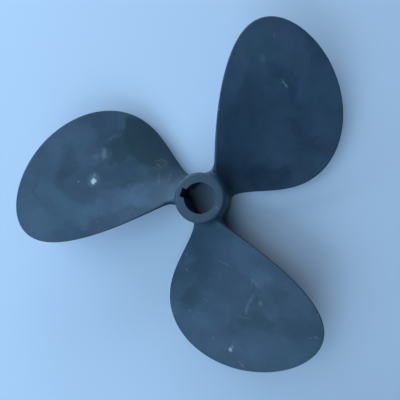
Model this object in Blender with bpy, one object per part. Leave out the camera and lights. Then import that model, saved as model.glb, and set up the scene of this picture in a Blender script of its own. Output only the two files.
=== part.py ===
"""Ship propeller: one right-handed casting of three blades on a tapered hub.

The blank is made as it comes from the mould, hub, fillets and blades in one skin. The tapered bore
and its keyway are then cut through the hub. +Z runs aft along the shaft, and the keyway faces +Y.
Points of a blade are worked out on cylinders round the shaft, as (radius, turn, height).
"""

import math

import bmesh
import bpy
import numpy as np

MM = 0.001

# Propeller: sixteen inches across, with nine inches of pitch
BLADES = 3
TIP_RADIUS = 203.2 * MM
PITCH = 228.6 * MM
ROOT_PITCH_DROP = 0.4
FULL_PITCH_SHARE = 0.6
RAKE = 0.058
BLADE_ANGLE = math.radians(86.5)

# Heights above the origin, which lies on the shaft axis at the centre of mass
AFT_FACE = 29.7 * MM
HUB_LENGTH = 64.5 * MM
GENERATOR_HEIGHT = AFT_FACE - 33.0 * MM

# Hub: a plain cone with turned rims
AFT_RADIUS = 26.6 * MM
FORWARD_RADIUS = 28.8 * MM
RIM_ROUND = 3.0 * MM

# Bore: one in twelve on the diameter, small end aft, with a full-length keyway
BORE_AFT_RADIUS = 16.35 * MM
BORE_TAPER = 1 / 12
KEY_WIDTH = 9.5 * MM
KEY_DEPTH = 3.9 * MM

# Blade outline: share of the tip radius, half width, and how far its middle sweeps to the trailing side
GENERATOR_SHARE = 0.2
STATIONS = (
    (0.12, 12.0, -4.0),
    (0.20, 22.0, -0.5),
    (0.30, 37.0, 2.5),
    (0.40, 51.5, 4.5),
    (0.50, 64.0, 7.5),
    (0.60, 73.5, 12.0),
    (0.70, 78.0, 20.0),
    (0.80, 75.5, 33.0),
    (0.90, 61.0, 52.0),
    (0.95, 45.5, 64.0),
)
FAIRING = 4

# Blade sections: a flat driving face, a round back and rounded edges
ROOT_THICKNESS = 14.0 * MM
TIP_THICKNESS = 3.0 * MM
EDGE_THICKNESS = 2.4 * MM
ROOT_EDGE_THICKNESS = 7.0 * MM
EDGE_THINS_BY = 0.5
LEADING_FILLET = 8.0 * MM
TRAILING_FILLET = 11.5 * MM
CORNER_SHARE = 0.88

# Facets: across a face, round an edge, along the blade, up the fillet, over the hub, and over a rim
COLUMNS = 18
EDGE_STEPS = 6
ROWS = 20
FILLET_STEPS = 4
HUB_STEPS = 4
RIM_ROUND_STEPS = 3
BORE_STEPS = 48
FINE_STEPS = 800
FILLET_PASSES = 4
FILLET_SPAN = 3
SHARP_ANGLE = math.radians(50)
OVERSHOOT = 5.0 * MM
WELD = 0.01 * MM

shares, half_widths, sweeps = np.array(STATIONS).T
WIDTH_CURVE = np.polyfit(shares, half_widths * MM / np.sqrt(1 - shares**2), FAIRING)
SWEEP_CURVE = np.polyfit(shares, sweeps * MM, FAIRING)


def half_width(radius):
    share = np.minimum(radius / TIP_RADIUS, 1)
    return np.polyval(WIDTH_CURVE, share) * np.sqrt(1 - share**2)


def sweep(radius):
    return np.polyval(SWEEP_CURVE, radius / TIP_RADIUS)


def pitch_angle(radius):
    """Slope of a section's helix; the pitch falls off towards the root."""
    inside = np.clip(1 - radius / TIP_RADIUS / FULL_PITCH_SHARE, 0, 1)
    pitch = PITCH * (1 - ROOT_PITCH_DROP * inside**2)
    return np.arctan2(pitch, 2 * math.pi * radius)


def edge_thickness(radius):
    share = np.clip(1 - radius / TIP_RADIUS / EDGE_THINS_BY, 0, 1)
    return EDGE_THICKNESS + (ROOT_EDGE_THICKNESS - EDGE_THICKNESS) * share**2


def thickness(radius, across):
    """Thickness of a section; across runs from -1 at the leading edge to 1 at the trailing edge."""
    share = (radius / TIP_RADIUS - GENERATOR_SHARE) / (1 - GENERATOR_SHARE)
    greatest = ROOT_THICKNESS + (TIP_THICKNESS - ROOT_THICKNESS) * share
    edge = edge_thickness(radius)
    return edge + (greatest - edge) * (1 - across**2)


def hub_radius(height):
    share = (AFT_FACE - height) / HUB_LENGTH
    return AFT_RADIUS + (FORWARD_RADIUS - AFT_RADIUS) * share


def edge_chord(side, radius):
    """Where the leading (-1) or trailing (1) edge lies along a section's helix."""
    return (sweep(radius) + side * half_width(radius)) / np.cos(pitch_angle(radius))


def on_blade(chord, radius, depth):
    """The point at a chord along a section's helix, and at a depth below the driving face."""
    slope = pitch_angle(radius)
    turn = (chord * np.cos(slope) + depth * np.sin(slope)) / radius
    generator = GENERATOR_HEIGHT + RAKE * (radius - GENERATOR_SHARE * TIP_RADIUS)
    height = generator + chord * np.sin(slope) - depth * np.cos(slope)
    return np.stack(np.broadcast_arrays(radius, turn, height), axis=-1)


def edge_rows(chord, radius, out_chord, out_radius):
    """Points over the rounded edge, from the driving face to the back, at each place along it."""
    chord, radius, out_chord, out_radius = (
        np.asarray(value, float)[..., None] for value in (chord, radius, out_chord, out_radius)
    )
    over = np.linspace(math.pi / 2, -math.pi / 2, EDGE_STEPS + 1)
    half = edge_thickness(radius) / 2
    reach = half * np.cos(over)
    points = on_blade(chord + reach * out_chord, radius, half - half * np.sin(over))
    points[..., 0] += reach * out_radius
    return points


def closed_ring(face, back, leading, trailing):
    """Up the driving face, over the trailing edge, down the back and over the leading edge."""
    return np.concatenate([face, trailing[1:-1], back[::-1], leading[1:-1][::-1]])


def spaced(points, count):
    """The polyline's places at even distances along it, by its first two columns."""
    steps = np.linalg.norm(np.diff(points[:, :2], axis=0), axis=1)
    travelled = np.concatenate([[0], np.cumsum(steps)])
    wanted = np.linspace(0, travelled[-1], count + 1)
    return np.stack([np.interp(wanted, travelled, column) for column in points.T], axis=1)


def face_border(root_radius):
    """The driving face's leading side, trailing side and tip, each row a place and its way out."""
    turn = np.linspace(0, math.pi, FINE_STEPS + 1)
    radius = root_radius + (TIP_RADIUS - root_radius) * np.sin(turn)
    outline = np.stack([edge_chord(np.where(turn < math.pi / 2, -1, 1), radius), radius], axis=1)
    along = np.gradient(outline, axis=0)
    along /= np.linalg.norm(along, axis=1)[:, None]
    out = np.stack([-along[:, 1], along[:, 0]], axis=1)
    inset = outline - out * edge_thickness(radius)[:, None] / 2
    border = np.concatenate([inset, out], axis=1)
    beyond = np.flatnonzero(radius > CORNER_SHARE * TIP_RADIUS)
    first, last = beyond[0], beyond[-1]
    leading = spaced(border[: first + 1], ROWS)
    trailing = spaced(border[last:][::-1], ROWS)
    return leading, trailing, spaced(border[first : last + 1], COLUMNS)


def blade_rings(root_radius):
    """Rings from the root to the tip, and the tip's edge rows that close the last ring."""
    leading, trailing, tip = face_border(root_radius)
    v = np.linspace(0, 1, COLUMNS + 1)[:, None]
    root = (1 - v) * leading[0, :2] + v * trailing[0, :2]
    rings = []
    for row in range(ROWS + 1):
        u = row / ROWS
        sides = (1 - v) * leading[row, :2] + v * trailing[row, :2]
        ends = (1 - u) * root + u * tip[:, :2]
        corners = (1 - v) * ends[0] + v * ends[-1]
        chord, radius = (sides + ends - corners).T
        across = (chord * np.cos(pitch_angle(radius)) - sweep(radius)) / half_width(radius)
        across[[0, -1]] = -1, 1
        if row == ROWS:
            across = np.ones(COLUMNS + 1)
        face = on_blade(chord, radius, 0)
        back = on_blade(chord, radius, thickness(radius, across))
        rings.append(closed_ring(face, back, edge_rows(*leading[row]), edge_rows(*trailing[row])))
    return rings, edge_rows(*tip.T)


def section_ring(radius):
    """A whole section as a ring, each of its points on a cylinder of its own radius."""
    face_radius = radius[: COLUMNS + 1]
    back_radius = radius[COLUMNS + EDGE_STEPS : -EDGE_STEPS + 1][::-1]
    across = np.linspace(-1, 1, COLUMNS + 1)
    sides = []
    for own, below in ((face_radius, 0), (back_radius, 1)):
        leading = edge_chord(-1, own) + edge_thickness(own) / 2
        trailing = edge_chord(1, own) - edge_thickness(own) / 2
        chord = leading + (trailing - leading) * (across + 1) / 2
        sides.append(on_blade(chord, own, below * thickness(own, across)))
    edges = []
    for side, end in ((-1, 0), (1, -1)):
        own = (face_radius[end] + back_radius[end]) / 2
        edges.append(edge_rows(edge_chord(side, own) - side * edge_thickness(own) / 2, own, side, 0))
    return closed_ring(*sides, *edges)


def fillet_ring(turn):
    """A ring round the root fillet, from the blade (turn of 0) to the hub (a quarter turn)."""
    along = np.linspace(LEADING_FILLET, TRAILING_FILLET, COLUMNS + 1)
    size = closed_ring(along, along, *np.repeat(along[[0, -1]], EDGE_STEPS + 1).reshape(2, -1))
    rise = size * (1 - math.sin(turn))
    swell = size * (1 - math.cos(turn))
    radius = hub_radius(GENERATOR_HEIGHT) + rise
    for _ in range(FILLET_PASSES):
        ring = section_ring(radius)
        flat = np.stack([ring[:, 1] * radius, ring[:, 2]], axis=1)
        along = np.roll(flat, -FILLET_SPAN, axis=0) - np.roll(flat, FILLET_SPAN, axis=0)
        along /= np.linalg.norm(along, axis=1)[:, None]
        ring[:, 1] -= along[:, 1] * swell / radius
        ring[:, 2] += along[:, 0] * swell
        radius = hub_radius(ring[:, 2]) + rise
        ring[:, 0] = radius
    return ring


def hub_rings(foot):
    """Rings over this blade's third of the hub, from its border in to the foot of the fillet."""
    middle = (foot[:, 1].min() + foot[:, 1].max()) / 2
    rise = np.linspace(0, 1, (COLUMNS + EDGE_STEPS) // 2, endpoint=False)
    around = np.concatenate([0 * rise, rise, 1 + 0 * rise, 1 - rise])
    up = np.concatenate([rise, 1 + 0 * rise, 1 - rise, 0 * rise])
    turn = middle + (2 * around - 1) * math.pi / BLADES
    border = np.stack([turn, AFT_FACE - RIM_ROUND - (HUB_LENGTH - 2 * RIM_ROUND) * (1 - up)], axis=1)
    border = np.roll(border, -EDGE_STEPS // 2, axis=0)
    rings = []
    for step in range(HUB_STEPS):
        turn, height = (border + (foot[:, 1:] - border) * step / HUB_STEPS).T
        rings.append(np.stack([hub_radius(height), turn, height], axis=1))
    return rings


def to_space(points, angle):
    radius, turn, height = np.moveaxis(points, -1, 0)
    return np.stack([radius * np.cos(turn + angle), radius * np.sin(turn + angle), height], axis=-1)


def add_blade(mesh, rings, tip, angle):
    """One blade with its third of the hub: quads between the rings, and over the tip's edge."""
    rows = [[mesh.verts.new(place) for place in to_space(ring, angle)] for ring in rings]
    for lower, upper in zip(rows, rows[1:]):
        for first, second, third, fourth in zip(lower, lower[1:] + lower[:1], upper[1:] + upper[:1], upper):
            mesh.faces.new((first, second, third, fourth))
    last = rows[-1]
    face = last[: COLUMNS + 1]
    back = last[COLUMNS + EDGE_STEPS : 2 * COLUMNS + EDGE_STEPS + 1][::-1]
    trailing = last[COLUMNS + 1 : COLUMNS + EDGE_STEPS]
    leading = last[2 * COLUMNS + EDGE_STEPS + 1 :][::-1]
    strips = [[face[0], *leading, back[0]]]
    for column in range(1, COLUMNS):
        over = [mesh.verts.new(place) for place in to_space(tip[column, 1:-1], angle)]
        strips.append([face[column], *over, back[column]])
    strips.append([face[-1], *trailing, back[-1]])
    for before, after in zip(strips, strips[1:]):
        for first, second, third, fourth in zip(before, after, after[1:], before[1:]):
            mesh.faces.new((first, second, third, fourth))


def roll_rim(mesh, face_height, way):
    """Carry the hub's open end (way is 1 aft and -1 forward) round a quarter circle to its flat face."""
    open_end = [edge for edge in mesh.edges if edge.is_boundary and edge.verts[0].co.z * way > 0]
    for step in range(1, RIM_ROUND_STEPS + 1):
        over = step / RIM_ROUND_STEPS * math.pi / 2
        radius = hub_radius(face_height) - RIM_ROUND * (1 - math.cos(over))
        height = face_height - way * RIM_ROUND * (1 - math.sin(over))
        made = bmesh.ops.extrude_edge_only(mesh, edges=open_end)["geom"]
        open_end = [item for item in made if isinstance(item, bmesh.types.BMEdge)]
        for corner in {corner for edge in open_end for corner in edge.verts}:
            turn = math.atan2(corner.co.y, corner.co.x)
            corner.co = (radius * math.cos(turn), radius * math.sin(turn), height)


def finish(mesh, name):
    """Close and turn the skin, and make it an object shaded smooth between its sharp edges."""
    bmesh.ops.holes_fill(mesh, edges=[edge for edge in mesh.edges if edge.is_boundary], sides=0)
    bmesh.ops.recalc_face_normals(mesh, faces=mesh.faces)
    data = bpy.data.meshes.new(name)
    mesh.to_mesh(data)
    mesh.free()
    data.shade_smooth()
    data.set_sharp_from_angle(angle=SHARP_ANGLE)
    made = bpy.data.objects.new(name, data)
    bpy.context.collection.objects.link(made)
    return made


def cast_blank():
    """The hub and its blades in one skin, as they come from the mould."""
    turns = np.linspace(math.pi / 2, 0, FILLET_STEPS, endpoint=False)
    fillet = [fillet_ring(turn) for turn in turns]
    root_radius = hub_radius(GENERATOR_HEIGHT) + TRAILING_FILLET
    blade, tip = blade_rings(root_radius)
    rings = hub_rings(fillet[0]) + fillet + blade
    mesh = bmesh.new()
    for number in range(BLADES):
        add_blade(mesh, rings, tip, BLADE_ANGLE + number * 2 * math.pi / BLADES)
    bmesh.ops.remove_doubles(mesh, verts=mesh.verts, dist=WELD)
    roll_rim(mesh, AFT_FACE, 1)
    roll_rim(mesh, AFT_FACE - HUB_LENGTH, -1)
    return finish(mesh, "propeller")


def bore_cutter():
    """A tapered reamer, past both ends of the hub."""
    aft = AFT_FACE + OVERSHOOT
    fore = AFT_FACE - HUB_LENGTH - OVERSHOOT
    widening = BORE_TAPER / 2
    mesh = bmesh.new()
    bmesh.ops.create_cone(
        mesh,
        cap_ends=True,
        segments=BORE_STEPS,
        radius1=BORE_AFT_RADIUS + (HUB_LENGTH + OVERSHOOT) * widening,
        radius2=BORE_AFT_RADIUS - OVERSHOOT * widening,
        depth=aft - fore,
    )
    bmesh.ops.translate(mesh, verts=mesh.verts, vec=(0, 0, (aft + fore) / 2))
    return finish(mesh, "bore cutter")


def keyway_cutter():
    """A broach of the key's width, which follows the bore's taper."""
    mesh = bmesh.new()
    rows = []
    for height in (AFT_FACE - HUB_LENGTH - OVERSHOOT, AFT_FACE + OVERSHOOT):
        top = BORE_AFT_RADIUS + (AFT_FACE - height) * BORE_TAPER / 2 + KEY_DEPTH
        half = KEY_WIDTH / 2
        corners = ((-half, 0), (half, 0), (half, top), (-half, top))
        rows.append([mesh.verts.new((x, y, height)) for x, y in corners])
    low, high = rows
    mesh.faces.new(low[::-1])
    mesh.faces.new(high)
    for here in range(4):
        after = (here + 1) % 4
        mesh.faces.new((low[here], low[after], high[after], high[here]))
    return finish(mesh, "keyway cutter")


def cut(blank, cutter):
    cutter.hide_render = True
    cutter.display_type = "WIRE"
    boolean = blank.modifiers.new(cutter.name, "BOOLEAN")
    boolean.operation = "DIFFERENCE"
    boolean.solver = "EXACT"
    boolean.object = cutter


def paint():
    """Matt blue-grey paint over the bronze."""
    material = bpy.data.materials.new("grey paint")
    material.use_nodes = True
    shader = material.node_tree.nodes["Principled BSDF"]
    shader.inputs["Base Color"].default_value = (0.06, 0.10, 0.14, 1)
    shader.inputs["Roughness"].default_value = 0.6
    shader.inputs["Metallic"].default_value = 0.0
    return material


def clear_scene():
    for made in list(bpy.data.objects):
        bpy.data.objects.remove(made, do_unlink=True)


clear_scene()
propeller = cast_blank()
cut(propeller, bore_cutter())
cut(propeller, keyway_cutter())
propeller.data.materials.append(paint())
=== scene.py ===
"""The look of a three-bladed ship propeller, which stands on its hub on a pale table."""

import math

import bpy
import numpy as np
from mathutils import Matrix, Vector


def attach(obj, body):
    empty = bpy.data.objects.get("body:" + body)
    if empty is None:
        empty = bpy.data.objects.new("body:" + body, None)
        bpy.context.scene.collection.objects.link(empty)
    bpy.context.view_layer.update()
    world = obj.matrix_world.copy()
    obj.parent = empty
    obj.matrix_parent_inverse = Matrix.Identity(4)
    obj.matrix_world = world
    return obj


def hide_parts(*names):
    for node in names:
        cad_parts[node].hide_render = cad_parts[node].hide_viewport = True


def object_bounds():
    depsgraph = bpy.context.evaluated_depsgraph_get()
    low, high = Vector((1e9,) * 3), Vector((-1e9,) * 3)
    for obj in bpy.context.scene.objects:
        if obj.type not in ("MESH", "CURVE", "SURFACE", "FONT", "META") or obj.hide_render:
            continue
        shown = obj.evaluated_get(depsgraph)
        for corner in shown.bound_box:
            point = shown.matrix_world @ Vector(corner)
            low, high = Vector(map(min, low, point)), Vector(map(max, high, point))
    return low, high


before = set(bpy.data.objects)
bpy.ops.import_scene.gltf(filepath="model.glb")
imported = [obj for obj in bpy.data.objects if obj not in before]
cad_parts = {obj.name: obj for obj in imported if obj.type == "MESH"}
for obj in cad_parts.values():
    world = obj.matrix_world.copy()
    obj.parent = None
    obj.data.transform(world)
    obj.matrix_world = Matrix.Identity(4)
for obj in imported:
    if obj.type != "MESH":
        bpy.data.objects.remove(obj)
cad_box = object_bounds()

# The viewpoint. The photograph was taken by hand from nearly straight above the hub, a little to one side,
# and the picture was cut so that the hub isn't in its middle, which the shift follows. The rows of the
# turn are the picture's right, its up and the way back to the camera.
PICTURE_RIGHT = (0.3038, -0.9494, -0.0797)
PICTURE_UP = (0.9514, 0.3067, -0.0273)
TOWARDS_CAMERA = (0.0503, -0.0675, 0.9965)
CAMERA_PLACE = (0.0181, -0.0582, 0.4502)
SENSOR_WIDTH = 36.0
FOCAL_LENGTH = 37.17
CUT_SIDEWAYS = -0.0650
CUT_UPWARDS = 0.0247
bpy.ops.object.camera_add()
viewpoint = bpy.context.object
viewpoint.name = "viewpoint"
turn = Matrix((PICTURE_RIGHT, PICTURE_UP, TOWARDS_CAMERA)).transposed().to_4x4()
viewpoint.matrix_world = Matrix.Translation(CAMERA_PLACE) @ turn
viewpoint.data.sensor_width = SENSOR_WIDTH
viewpoint.data.lens = FOCAL_LENGTH
viewpoint.data.shift_x = CUT_SIDEWAYS
viewpoint.data.shift_y = CUT_UPWARDS
bpy.context.scene.camera = viewpoint

# The casting: hub, three blades and their root fillets, poured in one piece of manganese bronze. The
# blades are ground by hand, so their faces are smooth but not true, and the hub's two ends, the bore and
# the keyway are cut afterwards, so their edges stay crisp. All but the bore is then painted.
SAME_POINT = 0.00002
LEVEL_PAIR = math.radians(40)
SQUARE_PAIR = math.radians(60)
CRISP_ANGLE = math.radians(42)
SKIN_LEVELS = 2
bpy.ops.object.select_all(action="DESELECT")
casting = bpy.data.objects.new("casting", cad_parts["propeller"].data.copy())
bpy.context.scene.collection.objects.link(casting)
bpy.context.view_layer.objects.active = casting
casting.select_set(True)
bpy.ops.object.mode_set(mode="EDIT")
bpy.ops.mesh.select_all(action="SELECT")
bpy.ops.mesh.remove_doubles(threshold=SAME_POINT)
bpy.ops.mesh.tris_convert_to_quads(face_threshold=LEVEL_PAIR, shape_threshold=SQUARE_PAIR)
bpy.ops.object.mode_set(mode="OBJECT")
normals = np.zeros(len(casting.data.polygons) * 3)
casting.data.polygons.foreach_get("normal", normals)
normals = normals.reshape(-1, 3)
beside = {}
for face in casting.data.polygons:
    for key in face.edge_keys:
        beside.setdefault(key, []).append(face.index)
crease = casting.data.attributes.new("crease_edge", "FLOAT", "EDGE")
for edge in casting.data.edges:
    joined = beside[edge.key]
    if len(joined) == 2 and normals[joined[0]] @ normals[joined[1]] < math.cos(CRISP_ANGLE):
        crease.data[edge.index].value = 1.0
skin = casting.modifiers.new("skin", "SUBSURF")
skin.levels = SKIN_LEVELS
skin.render_levels = SKIN_LEVELS
bpy.ops.object.modifier_apply(modifier=skin.name)
bpy.ops.object.shade_smooth_by_angle(angle=CRISP_ANGLE)
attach(casting, "root")
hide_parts("propeller")

# How sharply the casting bends at each point, in 1/mm: above zero on edges, where hands and straps rub the
# paint, and below zero in corners, where dirt stays and painted shade is laid. Each pass spreads it to the
# points beside. MM is how many millimetres a metre has.
MM = 1000
BEND_LIMIT = 1.0
BEND_PASSES = 6
points = np.zeros(len(casting.data.vertices) * 3)
casting.data.vertices.foreach_get("co", points)
points = MM * points.reshape(-1, 3)
facing = np.zeros(len(points) * 3)
casting.data.vertices.foreach_get("normal", facing)
facing = facing.reshape(-1, 3)
ends = np.zeros(len(casting.data.edges) * 2, dtype=int)
casting.data.edges.foreach_get("vertices", ends)
ends = ends.reshape(-1, 2)
step = points[ends[:, 1]] - points[ends[:, 0]]
span = (step ** 2).sum(axis=1)
bend = np.zeros(len(points))
shared = np.bincount(ends.ravel(), minlength=len(points))
np.add.at(bend, ends[:, 0], -2 * (step * facing[ends[:, 0]]).sum(axis=1) / span)
np.add.at(bend, ends[:, 1], 2 * (step * facing[ends[:, 1]]).sum(axis=1) / span)
bend = np.clip(bend / shared, -BEND_LIMIT, BEND_LIMIT)
for _ in range(BEND_PASSES):
    neighbours = np.zeros(len(points))
    np.add.at(neighbours, ends[:, 0], bend[ends[:, 1]])
    np.add.at(neighbours, ends[:, 1], bend[ends[:, 0]])
    bend = (bend + neighbours / shared) / 2
casting.data.attributes.new("bend", "FLOAT", "POINT").data.foreach_set("value", bend)

paint = bpy.data.materials.new("matt blue-grey paint")
paint.use_nodes = True
shader = paint.node_tree.nodes["Principled BSDF"]
casting.data.materials.clear()
casting.data.materials.append(paint)


# A Coat is one socket of the paint's node tree. Sums, differences and products of Coats add their own Math
# nodes, and | takes the larger of two.
class Coat:
    tree = paint.node_tree

    def __init__(self, socket):
        self.socket = socket

    @classmethod
    def node(cls, kind, settings, inputs, output=0):
        made = cls.tree.nodes.new(kind)
        for name, value in settings.items():
            setattr(made, name, value)
        for key, value in inputs.items():
            if isinstance(value, Coat):
                cls.tree.links.new(value.socket, made.inputs[key])
            else:
                made.inputs[key].default_value = value
        return cls(made.outputs[output])

    def maths(self, operation, first, second):
        return Coat.node("ShaderNodeMath", {"operation": operation}, {0: first, 1: second})

    def __add__(self, other):
        return self.maths("ADD", self, other)

    def __radd__(self, other):
        return self.maths("ADD", other, self)

    def __sub__(self, other):
        return self.maths("SUBTRACT", self, other)

    def __rsub__(self, other):
        return self.maths("SUBTRACT", other, self)

    def __mul__(self, other):
        return self.maths("MULTIPLY", self, other)

    def __rmul__(self, other):
        return self.maths("MULTIPLY", other, self)

    def __or__(self, other):
        return self.maths("MAXIMUM", self, other)


def rise(value, low, high):
    """0 up to low and 1 from high on, smooth between, or the other way round where low is the larger."""
    return Coat.node("ShaderNodeMapRange", {"interpolation_type": "SMOOTHSTEP"},
                     {"Value": value, "From Min": low, "From Max": high})


def cloud(at, size, detail=2.0, roughness=0.5):
    """Even mottling about zero, seldom past 0.5 either way, with spots about size millimetres apart."""
    noise = Coat.node("ShaderNodeTexNoise", {},
                      {"Vector": at, "Scale": MM / size, "Detail": detail, "Roughness": roughness})
    return 2 * noise - 1


def ragged(at, size, reach):
    """The same place, moved up to reach millimetres by a mottling of size, which makes outlines ragged."""
    swirl = Coat.node("ShaderNodeTexNoise", {}, {"Vector": at, "Scale": MM / size, "Detail": 2.0}, "Color")
    centred = Coat.node("ShaderNodeVectorMath", {"operation": "SUBTRACT"}, {0: swirl, 1: (0.5, 0.5, 0.5)})
    # The mottling seldom strays more than a quarter from its middle.
    stretch = (4 * reach / MM,) * 3
    return Coat.node("ShaderNodeVectorMath", {"operation": "MULTIPLY_ADD"}, {0: centred, 1: stretch, 2: at})


def oval(at, x, y, length, width, turned, soft):
    """1 inside an oval at x, y seen along the shaft, its length turned from the X axis in degrees."""
    any_height = 1000
    spot = Coat.node("ShaderNodeMapping", {"vector_type": "TEXTURE"},
                     {"Vector": at,
                      "Location": (x / MM, y / MM, 0),
                      "Rotation": (0, 0, math.radians(turned)),
                      "Scale": (length / 2 / MM, width / 2 / MM, any_height)})
    away = Coat.node("ShaderNodeVectorMath", {"operation": "LENGTH"}, {0: spot}, "Value")
    return rise(away, 1 + soft, 1 - soft)


def stroke(at, x, y, end_x, end_y, width):
    """A scratch from one point to another, thin towards both ends."""
    length = math.hypot(end_x - x, end_y - y)
    turned = math.degrees(math.atan2(end_y - y, end_x - x))
    return oval(at, (x + end_x) / 2, (y + end_y) / 2, length + width, width, turned, soft=0.75)


def over(below, above, cover):
    """One colour laid over another where cover is 1."""
    # A Mix node's inputs 6 and 7 are its two colours, and its output 2 is the mixed one.
    return Coat.node("ShaderNodeMix", {"data_type": "RGBA"}, {0: cover, 6: below, 7: above}, 2)


# What the paint follows: the place, its distance from the shaft and its height in millimetres, how far the
# surface faces up, from -1 to 1, and how it bends. Two ragged copies of the place serve large patches and
# small marks. Of each pair of limits, the first is where something begins and the second where it is full.
# AFT_FACE is the height of the hub's upper end.
AFT_FACE = MM * cad_box[1].z
DRIVING_FACES = (0.25, 0.5)
place = Coat.node("ShaderNodeTexCoord", {}, {}, "Object")
outward = Coat.node("ShaderNodeTexCoord", {}, {}, "Normal")
across = Coat.node("ShaderNodeVectorMath", {"operation": "MULTIPLY"}, {0: place, 1: (MM, MM, 0)})
radius = Coat.node("ShaderNodeVectorMath", {"operation": "LENGTH"}, {0: across}, "Value")
height = MM * Coat.node("ShaderNodeSeparateXYZ", {}, {0: place}, "Z")
upward = Coat.node("ShaderNodeSeparateXYZ", {}, {0: outward}, "Z")
sharpness = Coat.node("ShaderNodeAttribute", {"attribute_name": "bend"}, {}, "Fac")
loose = ragged(ragged(place, size=24, reach=7), size=6, reach=2.2)
close = ragged(place, size=2.5, reach=0.7)
driving = rise(upward, *DRIVING_FACES)

# The paint went on by hand over old coats, so it is patchy: broad patches with fairly sharp edges, a
# little greener or more violet from place to place, under a finer mottling. One blade's coat is evener and
# more violet, a violet that is partly painted light: the tint of the bluer light that falls on that blade.
DEEP_PAINT = (0.0033, 0.0306, 0.0658, 1)
PALE_VIOLET_PAINT = (0.0610, 0.1085, 0.2000, 1)
PALE_GREEN_PAINT = (0.0480, 0.1180, 0.1960, 1)
broad = cloud(loose, size=58, detail=1.0)
finer = cloud(loose, size=27, detail=1.0)
patches = 0.12 * rise(broad, -0.15, 0.12) + 0.08 * rise(finer, 0.02, 0.20) - 0.10
mottle = 0.18 * cloud(place, size=14, detail=3.0, roughness=0.6)
mottle = mottle + 0.10 * cloud(place, size=1.6, roughness=0.6)
# Painted light: this blade is tinted more violet for the bluer light on it, and its patches are evener.
bluer_lit_evener_blade = oval(loose, 120, -20, length=230, width=180, turned=10, soft=0.3)
hue = rise(cloud(loose, size=52) + 0.3 * cloud(place, size=9) - 0.35 * bluer_lit_evener_blade, -0.4, 0.4)

# Lighter and darker patches on the three blades' driving faces: place, length and width in millimetres,
# turn of the length in degrees, and how much lighter. By the roots they are partly painted light and
# shade: one blade's root is made lighter where it tilts towards the light, another's darker where it
# tilts away into shade.
blade_patches_and_root_shade = 0
for x, y, length, width, turned, lighter in (
        (-37, 96, 88, 26, -51, 0.20),
        (-11, 56, 66, 24, -66, 0.26),
        (15, 172, 54, 26, -12, 0.16),
        (-82, 166, 56, 34, -122, 0.18),
        (-43, 176, 22, 10, 18, -0.18),
        (-8, 155, 44, 18, 5, -0.14),
        (-77, 121, 48, 18, -67, -0.14),
        (-1, 92, 42, 20, -53, -0.20),
        (-30, 71, 13, 10, 20, -0.14),
        (151, -39, 34, 16, -102, -0.16),
        (133, -60, 40, 10, -125, -0.13),
        (99, -80, 46, 12, -110, -0.14),
        (97, -82, 40, 22, 60, -0.08),
        (167, -55, 64, 16, 17, 0.10),
        (136, 8, 70, 20, 8, 0.16),
        (168, -12, 64, 70, 0, 0.16),
        (82, -94, 48, 34, -60, -0.06),
        (84, -19, 76, 34, 17, -0.10),
        (45, -58, 62, 30, -72, -0.30),
        (-72, -20, 62, 24, 23, -0.15),
        (-113, -19, 28, 20, 17, -0.16),
        (-50, -65, 80, 24, -113, 0.14),
        (-67, -128, 50, 16, -120, 0.13),
        (15, 138, 40, 30, 40, 0.13),
        (-62, 163, 70, 52, 60, 0.08),
        (-140, -100, 124, 34, -67, 0.14),
        (-140, -38, 64, 38, -112, 0.12),
        (-103, -116, 88, 20, -77, -0.12),
        (-117, -76, 28, 20, 20, -0.13),
        (-67, -80, 15, 13, 0, -0.14),
        (-78, -98, 36, 24, -60, -0.17)):
    blade_patches_and_root_shade = blade_patches_and_root_shade + lighter * oval(loose, x, y, length, width, turned, soft=0.35)

# Where it is paler it is also greyer, so the coat runs from a deep to a pale colour.
pale = over(PALE_VIOLET_PAINT, PALE_GREEN_PAINT, hue)
# The coat takes the patches, which by the roots are partly painted light and shade.
coat = over(DEEP_PAINT, pale, 0.5 + (patches + mottle) * (1 - 0.3 * bluer_lit_evener_blade) + driving * blade_patches_and_root_shade)

# A stain on one blade's driving face, dark and greenish at its middle, thinner towards root and tip.
GREEN_STAIN = (0.0098, 0.0400, 0.0580, 1)
stain = 0.74 * oval(loose, 39, 87, length=58, width=38, turned=38, soft=0.10)
stain = stain | 0.60 * oval(loose, 44, 66, length=66, width=25, turned=54, soft=0.20)
stain = stain | 0.40 * oval(loose, 22, 66, length=44, width=24, turned=52, soft=0.15)
stain = stain | 0.58 * oval(loose, 22, 108, length=39, width=25, turned=16, soft=0.10)
coat = over(coat, GREEN_STAIN, driving * stain)

# Round the hub the paint is greyer, from the hands and the grease that go with fitting it.
HANDLED_PAINT = (0.0290, 0.0730, 0.1080, 1)
AROUND_HUB = (62, 34)
coat = over(coat, HANDLED_PAINT, 0.40 * rise(radius + 6 * cloud(place, size=20), *AROUND_HUB))

# Dirt and painted shade in the corners at the blades' roots, and the edges, where the paint is rubbed thin
# on the side that faces up and darkened round the side, partly as metal worn bare and partly as painted
# shade.
DIRT_AND_SHADE = (0.008, 0.020, 0.026, 1)
RUBBED_PAINT = (0.085, 0.135, 0.185, 1)
WORN_METAL_AND_FLANK_SHADE = (0.005, 0.009, 0.012, 1)
CORNERS = (-0.02, -0.09)
SHARP_EDGES = (0.16, 0.36)
RUBBED_EDGES = (0.16, 0.30)
BELOW_THE_FACE = (0.95, 0.70)
ABOVE_THE_BACK = (-0.95, -0.6)
OUT_ON_BLADES = (32, 45)
# Painted shade: corners, where the casting bends inward, are darkened along with their dirt.
corner_dirt_and_shade = rise(sharpness + 0.03 * cloud(place, size=8, detail=3.0), *CORNERS)
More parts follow.
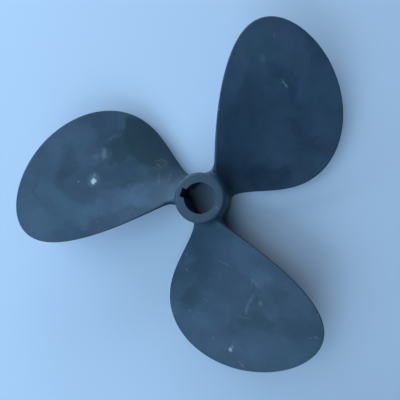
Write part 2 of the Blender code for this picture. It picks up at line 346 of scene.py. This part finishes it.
# Two small dark marks by the blades' roots add to this dirt and painted shade.
corner_dirt_and_shade = 0.70 * corner_dirt_and_shade | oval(close, 31.4, -3.6, length=3.2, width=2.8, turned=20, soft=0.4)
corner_dirt_and_shade = corner_dirt_and_shade | 0.8 * oval(close, -16.5, 32.6, length=13, width=3.6, turned=105, soft=0.5)
edge = rise(sharpness + 0.16 * cloud(place, size=5, detail=3.0, roughness=0.6), *SHARP_EDGES)
# Painted shade: the flanks of the blades' edges, between driving face and back, are made dark, partly as
# metal worn bare and partly as the shade on them.
worn_and_shaded_flanks = edge * rise(upward, *BELOW_THE_FACE) * rise(upward, *ABOVE_THE_BACK) * rise(radius, *OUT_ON_BLADES)
rubbed = edge * rise(sharpness, *RUBBED_EDGES) * (1 - worn_and_shaded_flanks)
# The corners are darkened: dirt and painted shade.
coat = over(coat, DIRT_AND_SHADE, 0.95 * corner_dirt_and_shade)
coat = over(coat, RUBBED_PAINT, 0.35 * rubbed)
# The edges' flanks are darkened: worn metal and painted shade.
coat = over(coat, WORN_METAL_AND_FLANK_SHADE, worn_and_shaded_flanks)

# Old grease has run down the hub's side, so its spots are drawn out along the shaft.
OLD_GREASE = (0.010, 0.024, 0.034, 1)
DRAWN_OUT = (1, 1, 0.12)
HUB_SIDE = (46, 34)
UPRIGHT_WALL = (0.55, 0.25)
upright = Coat.node("ShaderNodeVectorMath", {"operation": "MULTIPLY"}, {0: loose, 1: DRAWN_OUT})
runs = rise(cloud(upright, size=7, detail=4.0, roughness=0.6), 0.02, 0.36)
runs = runs * rise(radius, *HUB_SIDE) * rise(upward, *UPRIGHT_WALL)
coat = over(coat, OLD_GREASE, 0.50 * runs)

# The blades' backs have fine pale scratches, all about one way, from dragging and stacking.
DRAG_DIRECTION = (0, 0, math.radians(35))
DRAG_STRETCH = (0.07, 1, 1)
BLADE_BACKS = (-0.25, -0.5)
OUT_ON_BACKS = (36, 48)
dragged = Coat.node("ShaderNodeMapping", {"vector_type": "POINT"},
                    {"Vector": close, "Rotation": DRAG_DIRECTION, "Scale": DRAG_STRETCH})
scratches = rise(cloud(dragged, size=3.2), 0.26, 0.40)
scratches = scratches * rise(cloud(place, size=45, detail=1.0), 0.0, 0.25)
scratches = scratches * rise(upward, *BLADE_BACKS) * rise(radius, *OUT_ON_BACKS)

# The hub's turned ends carry a thinner and greyer coat.
RING_PAINT = (0.0455, 0.0825, 0.1300)
FACING_AFT = (0.86, 0.995)
FACING_FORWARD = (-0.96, -0.995)
AFT_END = (AFT_FACE - 1.9, AFT_FACE - 0.3)
turned_face = rise(upward, *FACING_AFT) * rise(height, *AFT_END) | rise(upward, *FACING_FORWARD)
ring_coat = Coat.node("ShaderNodeVectorMath", {"operation": "SCALE"},
                      {0: RING_PAINT, "Scale": 0.99 + mottle + 0.25 * cloud(place, size=16)})
coat = over(coat, ring_coat, 0.85 * turned_face)

# Chips that show the pale undercoat: each by its place, its size in millimetres, its turn in degrees and
# how bare it is. The first one, the largest, is a pale crust where something was stuck on.
UNDERCOAT = (0.430, 0.540, 0.660, 1)
chips = oval(close, -18.9, 120.2, length=6.2, width=5.4, turned=30, soft=0.45)
for x, y, length, width, turned, share in (
        (-24.4, 135.4, 2.6, 2.0, 0, 0.14),
        (-68.5, 1.3, 2.6, 1.6, 50, 0.22),
        (-84.2, -4.4, 3.0, 2.4, 0, 0.16),
        (-126.1, -22.5, 2.4, 2.0, 0, 0.16),
        (-130.6, -29.0, 2.0, 1.8, 0, 0.12),
        (-147.9, -79.1, 4.6, 3.4, 20, 0.55),
        (-144.5, -80.5, 3.0, 1.8, 40, 0.20),
        (-102.6, -152.6, 2.2, 1.8, 0, 0.16),
        (93.4, 9.3, 2.0, 1.4, 10, 0.30),
        (139.0, -48.2, 2.2, 1.8, 0, 0.16),
        (-4.1, -20.3, 2.6, 1.3, 80, 0.24),
        (10.4, 23.9, 2.4, 1.2, -22, 0.45),
        (6.3, 25.4, 1.4, 1.0, -10, 0.25),
        (17.9, 18.8, 4.4, 1.1, -46, 0.36)):
    chips = chips | share * oval(close, x, y, length, width, turned, soft=0.6)

# Smears, listed as the chips are, and scratches, each from one point to another with its width and how
# bare it is. Both lie on the paint without depth and are broken up finely.
scuffs = 0.16 * oval(close, -17.5, 120.8, length=12, width=10, turned=10, soft=0.8)
for x, y, length, width, turned, share in (
        (13.2, 121.6, 12, 5.0, 18, 0.17),
        (8.5, 127.0, 11, 6.0, -60, 0.06),
        (-14.0, 121.4, 7, 2.4, 18, 0.30),
        (-158.6, -95.2, 8, 2.4, -115, 0.16),
        (-99.4, -157.9, 5.0, 1.8, -100, 0.14),
        (-144.3, -57.8, 4.4, 3.2, 0, 0.06),
        (-86.9, -93.6, 6.0, 4.6, 0, 0.13),
        (155.9, -17.4, 8.0, 6.0, 30, 0.07),
        (182.0, -21.8, 5.0, 2.0, 20, 0.09),
        (36.5, 116.5, 12, 5.0, -40, 0.07)):
    scuffs = scuffs | share * oval(close, x, y, length, width, turned, soft=0.7)
for x, y, end_x, end_y, width, share in (
        (142.0, -44.0, 138.2, -50.2, 1.5, 0.28),
        (-59.8, -38.6, -60.7, -51.0, 2.0, 0.08),
        (-64.0, -76.9, -70.5, -85.0, 2.0, 0.08),
        (-64.0, -76.9, -72.0, -79.0, 2.0, 0.07),
        (-82.3, -83.8, -93.8, -81.5, 3.0, 0.08),
        (-93.8, -81.5, -103.5, -82.8, 3.0, 0.10),
        (-109.5, -77.0, -107.5, -88.0, 2.0, 0.07),
        (-98.0, -103.5, -99.4, -110.5, 1.8, 0.05),
        (23.5, 65.0, 26.5, 60.0, 1.7, 0.11),
        (26.5, 60.0, 25.5, 53.0, 1.7, 0.10),
        (20.5, 63.0, 17.5, 58.0, 1.6, 0.10),
        (25.5, 53.0, 20.5, 55.5, 1.6, 0.09),
        (11.5, 57.5, 1.5, 52.5, 1.5, 0.08),
        (14.5, 45.5, 6.5, 44.0, 1.5, 0.09),
        (14.5, 122.5, 11.0, 117.0, 2.0, 0.10),
        (30.0, 123.0, 38.5, 117.0, 2.0, 0.08),
        (-107.0, -34.5, -107.4, -39.5, 1.3, 0.08)):
    scuffs = scuffs | share * stroke(close, x, y, end_x, end_y, width)
scuffs = scuffs * (0.9 + 0.9 * cloud(place, size=1.8))
bare = driving * (chips | scuffs)

# Small chips and pinholes all over, few and far between: one in ten of these centimetre cells has one.
CELLS_PER_METRE = 105.0
SPECK_SIZE = (0.11, 0.05)
ONE_IN_TEN = (0.88, 0.92)
specks = Coat.node("ShaderNodeTexVoronoi", {}, {"Vector": close, "Scale": CELLS_PER_METRE}, "Distance")
cell = Coat.node("ShaderNodeTexVoronoi", {}, {"Vector": close, "Scale": CELLS_PER_METRE}, "Color")
lot = Coat.node("ShaderNodeSeparateColor", {}, {0: cell}, "Red")
specks = rise(specks, *SPECK_SIZE) * rise(lot, *ONE_IN_TEN)
bare = bare | 0.12 * specks | 0.14 * scratches
coat = over(coat, UNDERCOAT, bare)

# The bore and the keyway were never painted: bare machined bronze, tarnished nearly black under old
# grease, with overspray at the mouth.
TARNISH = (0.014, 0.024, 0.036, 1)
BORE_REACH = (24.2, 23.8)
TURNED_AFT = (0.6, 0.8)
TURNED_FORWARD = (-0.6, -0.8)
BORE_TOP = (AFT_FACE - 0.1, AFT_FACE - 0.5)
OVERSPRAY_END = (AFT_FACE - 2.7, AFT_FACE - 9.7)
inside = rise(radius, *BORE_REACH)
inside = inside * (1 - rise(upward, *TURNED_AFT))
inside = inside * (1 - rise(upward, *TURNED_FORWARD))
inside = inside * rise(height, *BORE_TOP)
bronze = inside * rise(height + 5 * cloud(place, size=7, detail=3.0), *OVERSPRAY_END)
coat = over(coat, TARNISH, bronze)

# How dull the surface is, and its fine relief in millimetres: the unevenness from grinding by hand, the
# grain of the casting, chips, rubbed edges, and the cutting tool's rings on the hub's ends and in the bore.
PAINT_DULLNESS = 0.52
PAINT_SHEEN = 0.3
RINGS_PER_MILLIMETRE = 2.2
dull = PAINT_DULLNESS + 0.30 * mottle - 0.10 * driving * stain + 0.30 * (corner_dirt_and_shade | worn_and_shaded_flanks)
dull = dull - 0.10 * rubbed + 0.10 * bare - 0.10 * bronze
relief = 0.09 * cloud(place, size=30, detail=1.0)
relief = relief + (0.035 - 0.024 * driving) * cloud(place, size=2.2, detail=3.0, roughness=0.6)
relief = relief - 0.10 * driving * chips - 0.03 * edge
rings = Coat.node("ShaderNodeTexNoise", {"noise_dimensions": "1D"},
                  {"W": radius, "Scale": RINGS_PER_MILLIMETRE, "Detail": 3.0})
relief = relief * (1 - turned_face) + 0.012 * rings * (turned_face | inside)
bump = Coat.node("ShaderNodeBump", {}, {"Strength": 1.0, "Distance": 1 / MM, "Height": relief})
Coat.tree.links.new(coat.socket, shader.inputs["Base Color"])
Coat.tree.links.new(dull.socket, shader.inputs["Roughness"])
Coat.tree.links.new((0.5 * bronze).socket, shader.inputs["Metallic"])
Coat.tree.links.new(bump.socket, shader.inputs["Normal"])
shader.inputs["Specular IOR Level"].default_value = PAINT_SHEEN

# The table: a plain pale board on which the hub's forward face rests, wide enough to fill the view. It is
# matt and shows no gloss at all.
TABLE_HALF = 3.0
PALE_BOARD = (0.55, 0.70, 0.935, 1)
BOARD_DULLNESS = 0.9
table_top = cad_box[0].z
bpy.ops.mesh.primitive_plane_add(size=2 * TABLE_HALF, location=(0, 0, table_top))
table = bpy.context.object
table.name = "table"
board = bpy.data.materials.new("pale board")
board.use_nodes = True
surface = board.node_tree.nodes["Principled BSDF"]
surface.inputs["Base Color"].default_value = PALE_BOARD
surface.inputs["Roughness"].default_value = BOARD_DULLNESS
surface.inputs["Specular IOR Level"].default_value = 0.0
table.data.materials.append(board)

# The light: soft daylight from windows round the table and a faint warm fill. The sky, nearly overhead, is
# the bluest. Each window is listed with its turn from the picture's top, counter-clockwise, its height above
# the table, both in degrees, its watts and its tint.
PICTURE_TOP = 17.9
WINDOW_SIZE = 1.0
WINDOW_DISTANCE = 1.6
FILL_TINT = (1.0, 0.95, 0.90, 1)
FILL_STRENGTH = 0.015
bpy.context.scene.view_settings.view_transform = "Standard"
for name, around, above, watts, tint in (
        ("low window", 45, 10, 21.0, (0.63, 0.82, 1.0)),
        ("far window", 0, 10, 14.8, (0.80, 0.90, 0.90)),
        ("side window", 112, 38, 5.0, (0.70, 0.92, 1.0)),
        ("near window", 157, 38, 9.8, (0.68, 0.86, 1.0)),
        ("tall window", 45, 58, 4.6, (0.80, 0.91, 1.0)),
        ("sky", 112, 75, 5.6, (0.51, 0.83, 1.0))):
    bpy.ops.object.light_add(type="AREA")
    window = bpy.context.object
    window.name = name
    window.data.shape = "SQUARE"
    window.data.size = WINDOW_SIZE
    window.data.energy = watts
    window.data.color = tint
    towards = (Matrix.Rotation(math.radians(PICTURE_TOP + around), 4, "Z")
               @ Matrix.Rotation(math.radians(90 - above), 4, "Y"))
    window.matrix_world = towards @ Matrix.Translation((0, 0, WINDOW_DISTANCE))
world = bpy.data.worlds.new("fill")
bpy.context.scene.world = world
world.use_nodes = True
world.node_tree.nodes["Background"].inputs["Color"].default_value = FILL_TINT
world.node_tree.nodes["Background"].inputs["Strength"].default_value = FILL_STRENGTH
